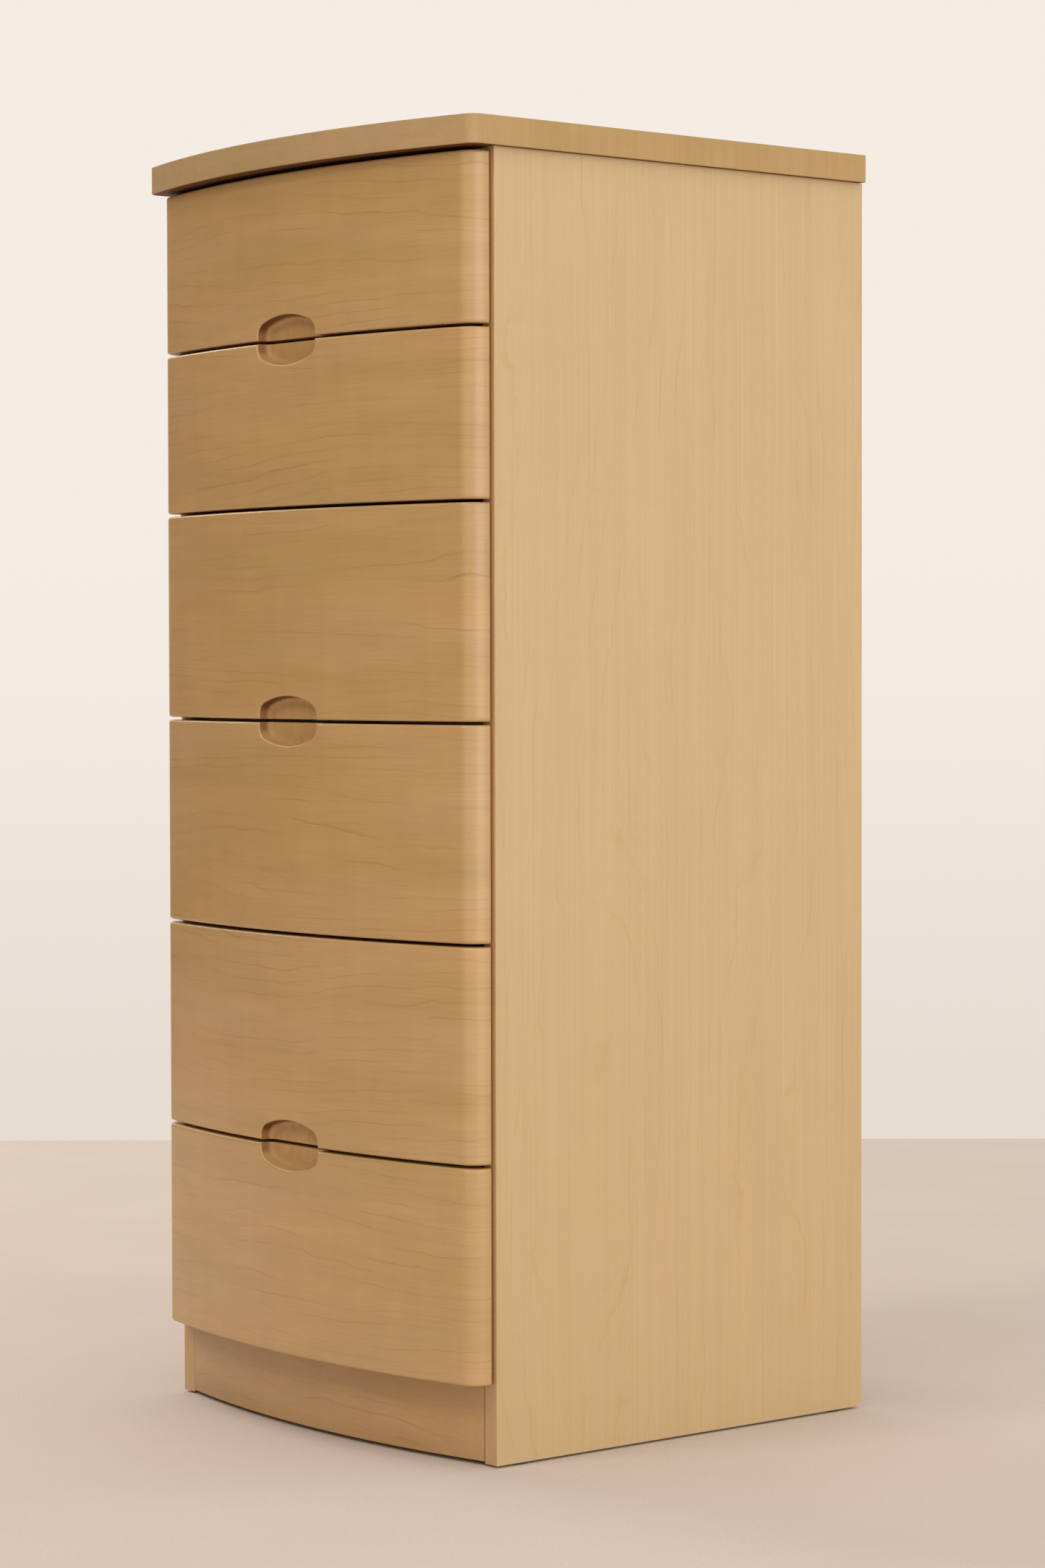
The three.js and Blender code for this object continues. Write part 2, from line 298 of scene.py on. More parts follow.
# The outline: where the centres of its arch and its corners are, and the turn at which their arcs meet.
SCOOP_ARCH_CENTRE = SCOOP_HEIGHT - SCOOP_ARCH_RADIUS
SCOOP_CENTRES_APART = SCOOP_ARCH_RADIUS - SCOOP_CORNER_RADIUS
SCOOP_CORNER_ACROSS = SCOOP_HALF_WIDTH - SCOOP_CORNER_RADIUS
SCOOP_CORNER_UP = SCOOP_ARCH_CENTRE + math.sqrt(SCOOP_CENTRES_APART**2 - SCOOP_CORNER_ACROSS**2)
SCOOP_ARCH_TURN = math.asin(SCOOP_CORNER_ACROSS / SCOOP_CENTRES_APART)


def scoop_offset(across, up):
    """How far inside the scoop's outline a point is, or below zero outside it.

    The outline has upright sides, rounded corners and a shallow arch. up is measured from the open edge.
    """
    across = abs(across)
    past_arch = math.atan2(across, up - SCOOP_ARCH_CENTRE) > SCOOP_ARCH_TURN
    if up > SCOOP_CORNER_UP and past_arch:
        return SCOOP_CORNER_RADIUS - math.hypot(across - SCOOP_CORNER_ACROSS, up - SCOOP_CORNER_UP)
    return min(SCOOP_HALF_WIDTH - across, SCOOP_ARCH_RADIUS - math.hypot(across, up - SCOOP_ARCH_CENTRE))


# The section: how far its rim, wall and cove run inwards, and how far its rim and cove fall.
WALL_TURN = math.pi / 2 - WALL_TILT
RIM_RUN = RIM_RADIUS * math.sin(WALL_TURN)
RIM_FALL = RIM_RADIUS * (1 - math.cos(WALL_TURN))
COVE_RUN = COVE_RADIUS * math.sin(WALL_TURN)
COVE_FALL = COVE_RADIUS * (1 - math.cos(WALL_TURN))
WALL_RUN = (SCOOP_DEPTH - RIM_FALL - COVE_FALL) * math.tan(WALL_TILT)
COVE_START = RIM_RUN + WALL_RUN
COVE_END = COVE_START + COVE_RUN


def scoop_fall(offset, floor):
    """How far the face falls at this offset, over a rounded rim, down a wall and round a cove.

    floor is how far the scoop's floor lies below the face there.
    """
    if offset <= RIM_RUN:
        return RIM_RADIUS - math.sqrt(RIM_RADIUS**2 - offset**2)
    if offset < COVE_START:
        share = (offset - RIM_RUN) / WALL_RUN
        return RIM_FALL + share * (floor - COVE_FALL - RIM_FALL)
    if offset < COVE_END:
        left = COVE_END - offset
        return floor - COVE_RADIUS + math.sqrt(COVE_RADIUS**2 - left**2)
    return floor


def scoop_rings():
    """The offsets of the outlines that the scoop's mesh follows."""
    rim = [RIM_RADIUS * math.sin(turn) for turn in spaced(0.0, WALL_TURN, RIM_STEPS)]
    cove = [COVE_END - COVE_RADIUS * math.sin(turn) for turn in spaced(0.0, WALL_TURN, COVE_STEPS)]
    return [-HOLD] + rim + cove + [COVE_END + HOLD]


def scoop_ring(offset):
    """Points along the scoop's outline shrunk by offset, from its right end to its left."""
    half = [Vector((SCOOP_HALF_WIDTH - offset, up)) for up in spaced(0.0, SCOOP_CORNER_UP, SIDE_STEPS)[:-1]]
    corner = Vector((SCOOP_CORNER_ACROSS, SCOOP_CORNER_UP))
    for turn in spaced(math.pi / 2, SCOOP_ARCH_TURN, SCOOP_CORNER_STEPS):
        half.append(corner + (SCOOP_CORNER_RADIUS - offset) * Vector((math.sin(turn), math.cos(turn))))
    centre = Vector((0, SCOOP_ARCH_CENTRE))
    for turn in spaced(SCOOP_ARCH_TURN, 0.0, ARCH_STEPS)[1:-1]:
        half.append(centre + (SCOOP_ARCH_RADIUS - offset) * Vector((math.sin(turn), math.cos(turn))))
    mirrored = [Vector((-point.x, point.y)) for point in reversed(half)]
    return half + [Vector((0, SCOOP_HEIGHT - offset))] + mirrored


# ---------------------------------------------------------------- drawer fronts

LAMINATE, MILLED = 0, 1
DELAUNAY_TRIANGLES = 0


def arris_fall(reach, radius):
    """How far a rounded arris has fallen away from the face, at this reach from the board's edge."""
    if reach >= radius:
        return 0.0
    return radius - math.sqrt(radius**2 - (radius - reach) ** 2)


def front_rows(height):
    """Heights over a front's face, closer together along its arrises, and how many the first arris has."""
    near = [FRONT_ARRIS * (1 - math.cos(angle)) for angle in spaced(0.0, math.pi / 2, ARRIS_STEPS)]
    near.append(FRONT_ARRIS + HOLD)
    far = [height - up for up in reversed(near)]
    middle = spaced(near[-1], far[0], ROW_STEPS)[1:-1]
    return near + middle + far, len(near)


def triangulated_face(columns, height):
    """Points and triangles over a front's unrolled face, along its columns, its rows and its scoop's rings.

    Rows near the scooped edge run on through the scoop, and the other lines stop at its outline.
    """
    points = []
    lines = []
    rows, running_on = front_rows(height)
    grid = {}
    for row, up in enumerate(rows):
        before = None
        for column, across in enumerate(columns):
            if scoop_offset(across, up) > -SCOOP_CLEARANCE:
                before = before if row < running_on else None
                continue
            points.append(Vector((across, up)))
            grid[column, row] = len(points) - 1
            if before is not None:
                lines.append((before, grid[column, row]))
            before = grid[column, row]
            if (column, row - 1) in grid:
                lines.append((grid[column, row - 1], grid[column, row]))
    for offset in scoop_rings():
        ring = scoop_ring(offset)
        first = len(points)
        points += ring
        lines += [(first + step, first + step + 1) for step in range(len(ring) - 1)]
    scale = 1 / MM
    scaled = [point * scale for point in points]
    found, _, triangles = delaunay_2d_cdt(scaled, lines, [], DELAUNAY_TRIANGLES, MERGE_WITHIN)[:3]
    return [point / scale for point in found], triangles


def add_ends(shape, flat, height):
    """Adds a front's top and foot to its face. Its back stays open."""
    for up in (0.0, height):
        row = [vertex for vertex, (_, reach) in flat.items() if abs(reach - up) < CLOSE]
        row.sort(key=lambda vertex: flat[vertex][0])
        shape.faces.new(row)


def add_back_with_groove(shape, low, high, depth):
    """Fills the flat back of a front round a groove from low to high, and adds the groove's inside."""
    outline = [edge for edge in shape.edges if edge.is_boundary]
    corners = ((low.x, low.z), (high.x, low.z), (high.x, high.z), (low.x, high.z))
    mouth = [shape.verts.new((x, high.y, z)) for x, z in corners]
    floor = [shape.verts.new((x, high.y - depth, z)) for x, z in corners]
    rim = [shape.edges.new((mouth[index - 1], mouth[index])) for index in range(4)]
    edges = outline + rim
    bmesh.ops.triangle_fill(shape, use_beauty=True, use_dissolve=False, edges=edges, normal=-FRONTWARDS)
    for index in range(4):
        shape.faces.new((mouth[index - 1], mouth[index], floor[index], floor[index - 1]))
    shape.faces.new(floor)


def front_place(edge, height, across, up):
    """The x and y on a front of this point of its unrolled face, with its arrises and its scoop."""
    offset = max(scoop_offset(across, up), 0.0)
    sharpness = min(offset / COVE_START, 1.0)
    arris = FRONT_ARRIS + (SCOOP_ARRIS - FRONT_ARRIS) * sharpness
    inset = max(arris_fall(up, arris), arris_fall(height - up, FRONT_ARRIS))
    place = edge.point(across, inset)
    floor = edge.apex_y + SCOOP_DEPTH - edge.point(across).y
    return place.x, place.y + scoop_fall(offset, floor)


def front_mesh(number):
    """A bowed front with rounded arrises, a milled scoop in one edge, and a groove behind for the bottom.

    The fronts come in pairs, and the two scoops of a pair meet at the gap between them.
    """
    name = f"front_board_{number}"
    low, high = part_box(f"drawer_{number}_front")
    height = high.z - low.z
    scoop_at_foot = number % 2 == 1
    edge = BowedEdge(high.x, low.y, high.y, FRONT_BOW, FRONT_CORNER_RADIUS, REAR_ARRIS)
    flat_points, triangles = triangulated_face(edge.stations(), height)

    shape = bmesh.new()
    flat = {}
    for across, up in flat_points:
        up = min(max(up, 0.0), height)
        x, y = front_place(edge, height, across, up)
        z = low.z + up if scoop_at_foot else high.z - up
        flat[shape.verts.new((x, y, z))] = (across, up)
    vertices = list(flat)
    face_side = {shape.faces.new([vertices[index] for index in triangle]) for triangle in triangles}
    for face in face_side:
        across, up = (sum(flat[vertex][axis] for vertex in face.verts) / len(face.verts) for axis in (0, 1))
        face.material_index = MILLED if scoop_offset(across, up) > RIM_RUN else LAMINATE
    add_ends(shape, flat, height)

    bottom_low, bottom_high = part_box(f"drawer_{number}_bottom")
    groove_low = Vector((bottom_low.x - FITTING_GAP, high.y, bottom_low.z - FITTING_GAP))
    groove_high = Vector((bottom_high.x + FITTING_GAP, high.y, bottom_high.z + FITTING_GAP))
    add_back_with_groove(shape, groove_low, groove_high, high.y - bottom_low.y + FITTING_GAP)

    def grain_at(face, vertex):
        if face in face_side:
            across, up = flat[vertex]
            return across, up, 0.0
        return vertex.co.x, vertex.co.z, vertex.co.y

    return to_mesh(name, shape, grain_at)


def build_fronts(face_material, scoop_material):
    for number in DRAWERS:
        mesh = front_mesh(number)
        materials = [face_material, scoop_material]
        add_piece(mesh, f"drawer_{number}", materials, [f"drawer_{number}_front"])


# ---------------------------------------------------------------- top


def top_edge():
    """The plan of the top's outer edge."""
    front_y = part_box("top_edge_front")[0].y
    back_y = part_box("top_panel")[1].y
    half_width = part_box("top_edge_right")[1].x
    return BowedEdge(half_width, front_y, back_y, TOP_BOW, TOP_CORNER_RADIUS)


def build_top_board(material, under_material):
    """The bowed top board, dark underneath as painted shade."""
    low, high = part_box("top_edge_front")
    edge = top_edge()
    plan = [edge.point(distance, EDGE_BAND) for distance in edge.stations()]
    sections = [[(x, y, z) for x, y in plan] for z in (low.z, high.z)]
    mesh = loft("top_board", sections, "xyz")
    # The faces that look down take the dark painted shade.
    use_second_material(mesh, DOWN)
    add_piece(mesh, "carcass", [material, under_material], ["top_panel"])


def build_top_edgings(front_material, side_material):
    """The three strips that edge the top, with seams on its rounded corners."""
    low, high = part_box("top_edge_front")
    edge = top_edge()
    section = rounded_outline([
        (0.0, low.z, BAND_ARRIS),
        (0.0, high.z, BAND_ARRIS),
        (EDGE_BAND, high.z, 0),
        (EDGE_BAND, low.z, 0),
    ])
    seam = edge.corner_end - SEAM_SHARE * (edge.corner_end - edge.bow_end)
    strips = (
        ("left", -edge.end, -seam - SEAM_GAP, "zyx", side_material),
        ("front", SEAM_GAP - seam, seam - SEAM_GAP, "xzy", front_material),
        ("right", seam + SEAM_GAP, edge.end, "zyx", side_material),
    )
    for side, start, stop, axes, material in strips:
        inner = [distance for distance in edge.stations() if start < distance < stop]
        sections = []
        for distance in [start, *inner, stop]:
            places = [(edge.point(distance, inset), z) for inset, z in section]
            sections.append([(place.x, place.y, z) for place, z in places])
        mesh = loft(f"top_edging_{side}", sections, axes)
        add_piece(mesh, "carcass", [material], [f"top_edge_{side}"])


# ---------------------------------------------------------------- sides and plinth


def build_side(side, sign, material, edge_material):
    """A side board with an edged front, the groove for the back, and the cut that clears a skirting board.

    sign is 1 for the board on the right and -1 for the one on the left.
    """
    node = f"side_panel_{side}"
    low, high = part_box(node)
    inner_x, outer_x = (low.x, high.x) if sign > 0 else (high.x, low.x)
    back_low, back_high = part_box("back_panel")
    groove_x = sign * (back_high.x + FITTING_GAP)
    sections = []
    heights = ((low.z, SKIRTING_CHAMFER), (low.z + SKIRTING_CHAMFER, 0.0), (high.z, 0.0))
    for z, cut in heights:
        plan = rounded_outline([
            (inner_x, low.y, PANEL_ARRIS),
            (outer_x, low.y, PANEL_ARRIS),
            (outer_x, high.y - cut, INNER_ARRIS),
            (inner_x, high.y - cut, INNER_ARRIS),
            (inner_x, back_high.y + FITTING_GAP, 0),
            (groove_x, back_high.y + FITTING_GAP, 0),
            (groove_x, back_low.y - FITTING_GAP, 0),
            (inner_x, back_low.y - FITTING_GAP, 0),
        ])
        sections.append([(x, y, z) for x, y in plan])
    mesh = loft(f"side_board_{side}", sections, "zyx")
    use_second_material(mesh, FRONTWARDS)
    add_piece(mesh, "carcass", [material, edge_material], [node])


def build_plinth(material):
    """The bowed plinth board between the sides, as thick as they are."""
    low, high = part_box("plinth_front")
    half_width = high.x - PLINTH_END_GAP
    panel_low, panel_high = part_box("side_panel_right")
    thickness = panel_high.x - panel_low.x
    radius = (half_width**2 + PLINTH_BOW**2) / (2 * PLINTH_BOW)
    centre_y = low.y + radius
    sections = []
    for x in spaced(-half_width, half_width, 2 * BOW_STEPS):
        front_y = centre_y - math.sqrt(radius**2 - x**2)
        rear_y = centre_y - math.sqrt((radius - thickness) ** 2 - x**2)
        outline = rounded_outline([
            (front_y, low.z, PLINTH_ARRIS),
            (rear_y, low.z, 0),
            (rear_y, high.z, 0),
            (front_y, high.z, PLINTH_ARRIS),
        ])
        sections.append([(x, y, z) for y, z in outline])
    mesh = loft("plinth_board", sections, "xzy")
    add_piece(mesh, "carcass", [material], ["plinth_front"])


# ---------------------------------------------------------------- boards that keep their CAD shape


def finish_cad_node(name, material):
    """Gives a CAD node its material and a fine arris. Its mesh stays as it was packed."""
    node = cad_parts[name]
    node.data.materials.clear()
    node.data.materials.append(material)
    weld = node.modifiers.new("weld", "WELD")
    weld.merge_threshold = WELD_WITHIN
    bevel = node.modifiers.new("arris", "BEVEL")
    bevel.width = INNER_ARRIS
    bevel.segments = ARRIS_SEGMENTS
    bevel.limit_method = "ANGLE"
    bevel.angle_limit = SMOOTH_UNDER


def finish_inner_boards(materials):
    for name in ("plinth_back", "base_panel", "rail_top_front", "rail_top_back", "rail_middle"):
        finish_cad_node(name, materials["board_across"])
    finish_cad_node("back_panel", materials["hardboard"])
    for number in DRAWERS:
        finish_cad_node(f"drawer_{number}_back", materials["board_across"])
        finish_cad_node(f"drawer_{number}_bottom", materials["hardboard"])
        for side in ("left", "right"):
            finish_cad_node(f"drawer_{number}_side_{side}", materials["board_deep"])
            finish_cad_node(f"runner_{number}_{side}", materials["runner"])
    for row in ("front", "back"):
        for side in ("left", "right"):
            finish_cad_node(f"glide_{row}_{side}", materials["glide"])


# ---------------------------------------------------------------- colours


def colour(red, green, blue):
    """A colour given as 8-bit sRGB numbers, for a shader socket."""
    linear = []
    for value in (red, green, blue):
        share = value / 255
        linear.append(share / 12.92 if share <= 0.04045 else ((share + 0.055) / 1.055) ** 2.4)
    return (*linear, 1.0)


def palette(*colours):
    """Several colours, each as colour() takes it."""
    return [colour(*numbers) for numbers in colours]


# Maple and foils: the pale, warm and olive colours, and the colour of the lines.
FRONT_TONES = palette((199, 164, 114), (202, 161, 108), (191, 157, 102), (150, 86, 36))
SIDE_TONES = palette((206, 179, 132), (206, 177, 131), (203, 176, 128), (190, 145, 82))
SIDE_EDGING_TONES = palette((203, 168, 122), (206, 165, 118), (198, 163, 112), (160, 118, 76))
FRONT_STRIP_TONES = palette((189, 160, 116), (191, 157, 112), (183, 155, 108), (150, 114, 74))
SIDE_STRIP_TONES = palette((185, 156, 106), (187, 152, 102), (179, 150, 96), (142, 106, 64))
PLINTH_TONES = palette((190, 156, 107), (193, 152, 101), (178, 143, 95), (136, 84, 40))
# The top's underside: a dark sheet of painted shade, standing for the shadow under the top's overhang.
UNDERSIDE_PAINTED_SHADE_TONES = palette((108, 72, 40), (112, 74, 40), (100, 68, 36), (80, 52, 28))
INNER_TONES = palette((224, 198, 158), (226, 194, 152), (218, 194, 150), (196, 160, 116))
RUNNER_TONES = palette((214, 184, 140), (214, 176, 130), (204, 176, 128), (178, 138, 94))

# Everything else: two colours to mix, and for some a third that lies over them in patches.
MILLED_FLOOR_TONES = palette((194, 155, 101), (184, 145, 92))
# The scoop's side walls: darker than its floor, partly as a stain of the milled core and partly as painted
# shade.
MILLED_WALL_STAIN_AND_SHADE_TONES = palette((158, 112, 66), (147, 103, 58))
# Painted shade for the scoop's wall that faces down, laid on by which way a face looks rather than in
# patches.
MILLED_PAINTED_SHADE = colour(104, 64, 32)
HARDBOARD_TONES = palette((176, 138, 96), (138, 102, 66), (158, 124, 84))
PLASTIC_TONES = palette((60, 54, 48), (72, 66, 60))
FLOOR_TONES = palette((215, 204, 195), (218, 207, 198), (199, 186, 175))
ROOM_TONES = palette((231, 220, 210), (245, 236, 228))
ROOM_DIM = colour(60, 50, 42)


# ---------------------------------------------------------------- shader nodes

# Noise lies between 0 and 1, and mostly within these spans.
WIDE_SPAN = (0.2, 0.8)
MIDDLE_SPAN = (0.25, 0.75)
NARROW_SPAN = (0.3, 0.7)


class ShaderNodes:
    """A node tree under construction. Apart from feed() and node(), each method returns an output socket."""

    # The factor and colour sockets of a Mix node, whose names its sockets of other types have too.
    MIX_INPUTS = (0, 6, 7)
    MIX_OUTPUT = 2

    def __init__(self, tree):
        self.tree = tree

    def feed(self, node, inputs):
        """Gives each input of a node a value, or links it to an output socket."""
        for key, value in inputs.items():
            if isinstance(value, bpy.types.NodeSocket):
                self.tree.links.new(value, node.inputs[key])
            else:
                node.inputs[key].default_value = value

    def node(self, kind, inputs, **settings):
        node = self.tree.nodes.new(kind)
        for key, value in settings.items():
            setattr(node, key, value)
        self.feed(node, inputs)
        return node

    def vector(self, operation, first, second):
        return self.node("ShaderNodeVectorMath", {0: first, 1: second}, operation=operation).outputs[0]

    def dot(self, first, second):
        node = self.node("ShaderNodeVectorMath", {0: first, 1: second}, operation="DOT_PRODUCT")
        return node.outputs["Value"]

    def math(self, operation, first, second=0.0):
        return self.node("ShaderNodeMath", {0: first, 1: second}, operation=operation).outputs[0]

    def noise(self, place, along, across, detail=2.0, roughness=0.5, shift=0.0):
        """Noise from 0 to 1 with this many features a metre along the grain and across it."""
        scaled = self.vector("MULTIPLY", place, (along, across, across))
        if shift:
            scaled = self.vector("ADD", scaled, (shift, -shift, shift))
        inputs = {"Vector": scaled, "Scale": 1.0, "Detail": detail, "Roughness": roughness}
        return self.node("ShaderNodeTexNoise", inputs).outputs["Fac"]

    def between(self, value, low, high, out_low=0.0, out_high=1.0, smooth=True):
        """value mapped from low..high to out_low..out_high, and held at the ends."""
        kind = "SMOOTHSTEP" if smooth else "LINEAR"
        inputs = {"Value": value, "From Min": low, "From Max": high, "To Min": out_low, "To Max": out_high}
        return self.node("ShaderNodeMapRange", inputs, interpolation_type=kind).outputs[0]

    def varied(self, pattern, lowest, highest, span=WIDE_SPAN):
        """A number from lowest to highest that follows a noise pattern over a span of its values."""
        return self.between(pattern, *span, lowest, highest, smooth=False)

    def mix(self, share, first, second, blend="MIX"):
        inputs = dict(zip(self.MIX_INPUTS, (share, first, second)))
        node = self.node("ShaderNodeMix", inputs, data_type="RGBA", blend_type=blend)
        return node.outputs[self.MIX_OUTPUT]


class Finish(ShaderNodes):
    """A material under construction."""

    def __init__(self, name):
        self.material = bpy.data.materials.new(name)
        self.material.use_nodes = True
        super().__init__(self.material.node_tree)

    def grain(self):
        """The place in the wood that a rebuilt piece's mesh holds."""
        return self.node("ShaderNodeAttribute", {}, attribute_name="grain").outputs["Vector"]

    def object_grain(self, axes):
        """The place in the wood from the object's own coordinates, with axes as in loft()."""
        place = self.node("ShaderNodeTexCoord", {}).outputs["Object"]
        split = self.node("ShaderNodeSeparateXYZ", {0: place}).outputs
        parts = {index: split["xyz".index(axis)] for index, axis in enumerate(axes)}
        return self.node("ShaderNodeCombineXYZ", parts).outputs[0]

    def bump(self, height, strength, distance):
        inputs = {"Height": height, "Strength": strength, "Distance": distance}
        return self.node("ShaderNodeBump", inputs).outputs[0]

    def finish(self, base, roughness, normal, specular=0.5):
        """Feeds the shader and returns the material."""
        self.feed(self.tree.nodes["Principled BSDF"], {
            "Base Color": base,
            "Roughness": roughness,
            "Normal": normal,
            "Specular IOR Level": specular,
        })
        return self.material


# ---------------------------------------------------------------- maple

# How far the growth lines wander, in line spacings: in long swings, in waves and in small raggedness.
LINE_SWING = 7.0
LINE_WAVE = 1.1
LINE_RAGGED = 0.1

# Where a line starts softly and where it peaks, on the way from one line to the next.
GROWTH_SOFT_FROM = 0.62
FINE_SOFT_FROM = 0.35
LINE_PEAK = 0.95

GROWTH_SHARPNESS = 7.0
FINE_SHARPNESS = 1.0
FINE_LINES_PER_RING = 6

# Noise values between which lines, tones and flecks come in.
GROWTH_PATCHES = (0.36, 0.74)
FINE_PATCHES = (0.42, 0.68)
CLOUD_PATCHES = (0.34, 0.66)
OLIVE_PATCHES = (0.36, 0.70)
FLECK_PATCHES = (0.70, 0.80)

# How strongly a colour lies over the ones before it, and the fine lines' share of the growth lines' strength.
OLIVE_STRENGTH = 0.75
FLECK_STRENGTH = 0.2
FINE_SHARE = 0.28

# How far each pattern lightens and darkens the wood.
FIBRE_DEPTH = 0.05
BAND_DEPTH = 0.045
CURL_DEPTH = 0.025

# The bands run on for longer than the fibres: they have this share of the fibres' ends.
BAND_ENDS = 0.6

# The roughness of maple with no gloss, in its smoothest and its roughest smudges.
MATTE_ROUGHNESS = (0.61, 0.70)


def growth_rings(finish, place, spacing):
    """A field that rises by one from each growth line to the next.

    The lines wander and close into long loops.
    """
    wanderings = (
        (LINE_SWING, finish.noise(place, along=2.2, across=9, detail=0.5, roughness=0.4, shift=7)),
        (LINE_WAVE, finish.noise(place, along=15, across=30, shift=13)),
        (LINE_RAGGED, finish.noise(place, along=110, across=200, shift=3)),
    )
    across = finish.node("ShaderNodeSeparateXYZ", {0: place}).outputs[1]
    rings = finish.math("MULTIPLY", across, 1 / spacing)
    for reach, pattern in wanderings:
        rings = finish.math("ADD", rings, finish.math("MULTIPLY", pattern, reach))
    return rings


def ring_lines(finish, rings, soft_from, sharpness, patches):
    """Lines at whole numbers of a ring field, thin on one side and soft on the other, within patches."""
    phase = finish.math("FRACT", rings)
    soft = finish.math("POWER", finish.between(phase, soft_from, LINE_PEAK), sharpness)
    sharp = finish.between(phase, LINE_PEAK, 1.0, 1.0, 0.0)
    return finish.math("MULTIPLY", finish.math("MULTIPLY", soft, sharp), patches)


def maple_colour(finish, place, tones, line_strength, spacing):
    """Cloudy tones with growth lines, fine lines between them and flecks."""
    pale, warm, olive, line = tones
    rings = growth_rings(finish, place, spacing)
    patches = finish.between(finish.noise(place, along=8, across=60, shift=11), *GROWTH_PATCHES)
    growth = ring_lines(finish, rings, GROWTH_SOFT_FROM, GROWTH_SHARPNESS, patches)
    fine_rings = finish.math("MULTIPLY", rings, FINE_LINES_PER_RING)
    patches = finish.between(finish.noise(place, along=7, across=26, shift=53), *FINE_PATCHES)
    fine = ring_lines(finish, fine_rings, FINE_SOFT_FROM, FINE_SHARPNESS, patches)

    clouds = finish.between(finish.noise(place, along=4, across=16, shift=17), *CLOUD_PATCHES)
    shade = finish.between(finish.noise(place, along=3, across=22, shift=23), *OLIVE_PATCHES)
    flecks = finish.noise(place, along=170, across=900, detail=1, shift=37)
    flecks = finish.between(flecks, *FLECK_PATCHES)
    base = finish.mix(clouds, pale, warm)
    layers = (
        (shade, OLIVE_STRENGTH, olive),
        (fine, line_strength * FINE_SHARE, line),
        (growth, line_strength, line),
        (flecks, FLECK_STRENGTH, line),
    )
    for pattern, strength, tone in layers:
        base = finish.mix(finish.math("MULTIPLY", pattern, strength), base, tone)
    return base


def maple_light(finish, place, fibres, figure, fibre_ends):
    """A grey near white to multiply the wood's colour by: fibres, bands along the grain and a faint curl."""
    bands_along = fibre_ends * BAND_ENDS
    bands = finish.noise(place, along=bands_along, across=75, detail=3, roughness=0.6, shift=19)
    curl = finish.noise(place, along=48, across=9, roughness=0.6, shift=31)
    factors = []
    for pattern, depth in ((fibres, FIBRE_DEPTH), (curl, CURL_DEPTH * figure), (bands, BAND_DEPTH * figure)):
        factors.append(finish.varied(pattern, 1 - depth, 1 + depth, MIDDLE_SPAN))
    light = finish.math("MULTIPLY", factors[0], factors[1])
    light = finish.math("MULTIPLY", light, factors[2])
    return finish.node("ShaderNodeCombineXYZ", {0: light, 1: light, 2: light}).outputs[0]


def maple(
    name,
    tones,
    axes=None,
    line_strength=0.31,
    spacing=11 * MM,
    figure=1.0,
    fibre_ends=14,
    gloss=0.7,
):
    """Lacquered maple laminate: cloudy tones, wandering growth lines, fibre streaks, flecks and a faint curl.

    tones holds the pale, warm, olive and line colours. axes is for CAD nodes, whose meshes don't hold their
    place in the wood. spacing is how far apart the growth lines lie. figure makes the bands and the curl
    stronger, fibre_ends makes the fibres and bands shorter, and gloss makes the lacquer shinier.
    """
    finish = Finish(name)
    place = finish.object_grain(axes) if axes else finish.grain()
    fibres = finish.noise(place, along=fibre_ends, across=560, detail=3, roughness=0.65, shift=29)
    base = maple_colour(finish, place, tones, line_strength, spacing)
    light = maple_light(finish, place, fibres, figure, fibre_ends)
    base = finish.mix(1.0, base, light, blend="MULTIPLY")

    smudge = finish.noise(place, along=11, across=14, detail=3, shift=41)
    smoothest, roughest = (matte - gloss / 2 for matte in MATTE_ROUGHNESS)
    roughness = finish.varied(smudge, smoothest, roughest, NARROW_SPAN)
    normal = finish.bump(fibres, strength=0.12, distance=0.1 * MM)
    return finish.finish(base, roughness, normal, specular=gloss)


# ---------------------------------------------------------------- other materials

# A face of the scoop takes the floor's colour the more it looks ahead. The more a wall looks down, the more
# it takes the side walls' darker colour, partly a stain and partly painted shade, and then the painted shade
# of the wall over the fingers. Walls that look up keep the floor's lighter colour as painted light.
FLOOR_LOOK = (0.25, 0.85)
SIDE_WALL_LOOK = (-0.75, -0.15)
OVER_WALL_SHADE_LOOK = (0.1, 0.7)

MILLED_ROUGHNESS = (0.42, 0.55)
HARDBOARD_ROUGHNESS = (0.6, 0.8)
PLASTIC_ROUGHNESS = (0.45, 0.6)
FLOOR_ROUGHNESS = (0.85, 1.0)


def milled_board(name):
    """The core of a front where the scoop is milled out, stained to match.

    The side walls are darker than the floor, partly as a stain and partly as painted shade. The wall that
    faces down holds the darkest painted shade, and walls that face up take the floor's lighter colour as
    painted light.
    """
    finish = Finish(name)
    place = finish.grain()
    mottle = finish.noise(place, along=130, across=60, detail=4, roughness=0.6)
    clouds = finish.noise(place, along=30, across=40, shift=5)
    facing = finish.node("ShaderNodeNewGeometry", {}).outputs["Normal"]
    ahead = finish.dot(facing, FRONTWARDS)
    down = finish.dot(facing, DOWN)
    floor = finish.mix(finish.between(mottle, *NARROW_SPAN), *MILLED_FLOOR_TONES)
    wall = finish.mix(finish.between(clouds, *NARROW_SPAN), *MILLED_WALL_STAIN_AND_SHADE_TONES)
    # Painted shade and light by which way a face looks: side walls darker, the down-facing wall darkest,
    # up-facing walls as light as the floor.
    wall = finish.mix(finish.between(down, *SIDE_WALL_LOOK), floor, wall)
    wall = finish.mix(finish.between(down, *OVER_WALL_SHADE_LOOK), wall, MILLED_PAINTED_SHADE)
    base = finish.mix(finish.between(ahead, *FLOOR_LOOK), wall, floor)
    roughness = finish.varied(mottle, *MILLED_ROUGHNESS)
    return finish.finish(base, roughness, finish.bump(mottle, strength=0.15, distance=0.1 * MM))


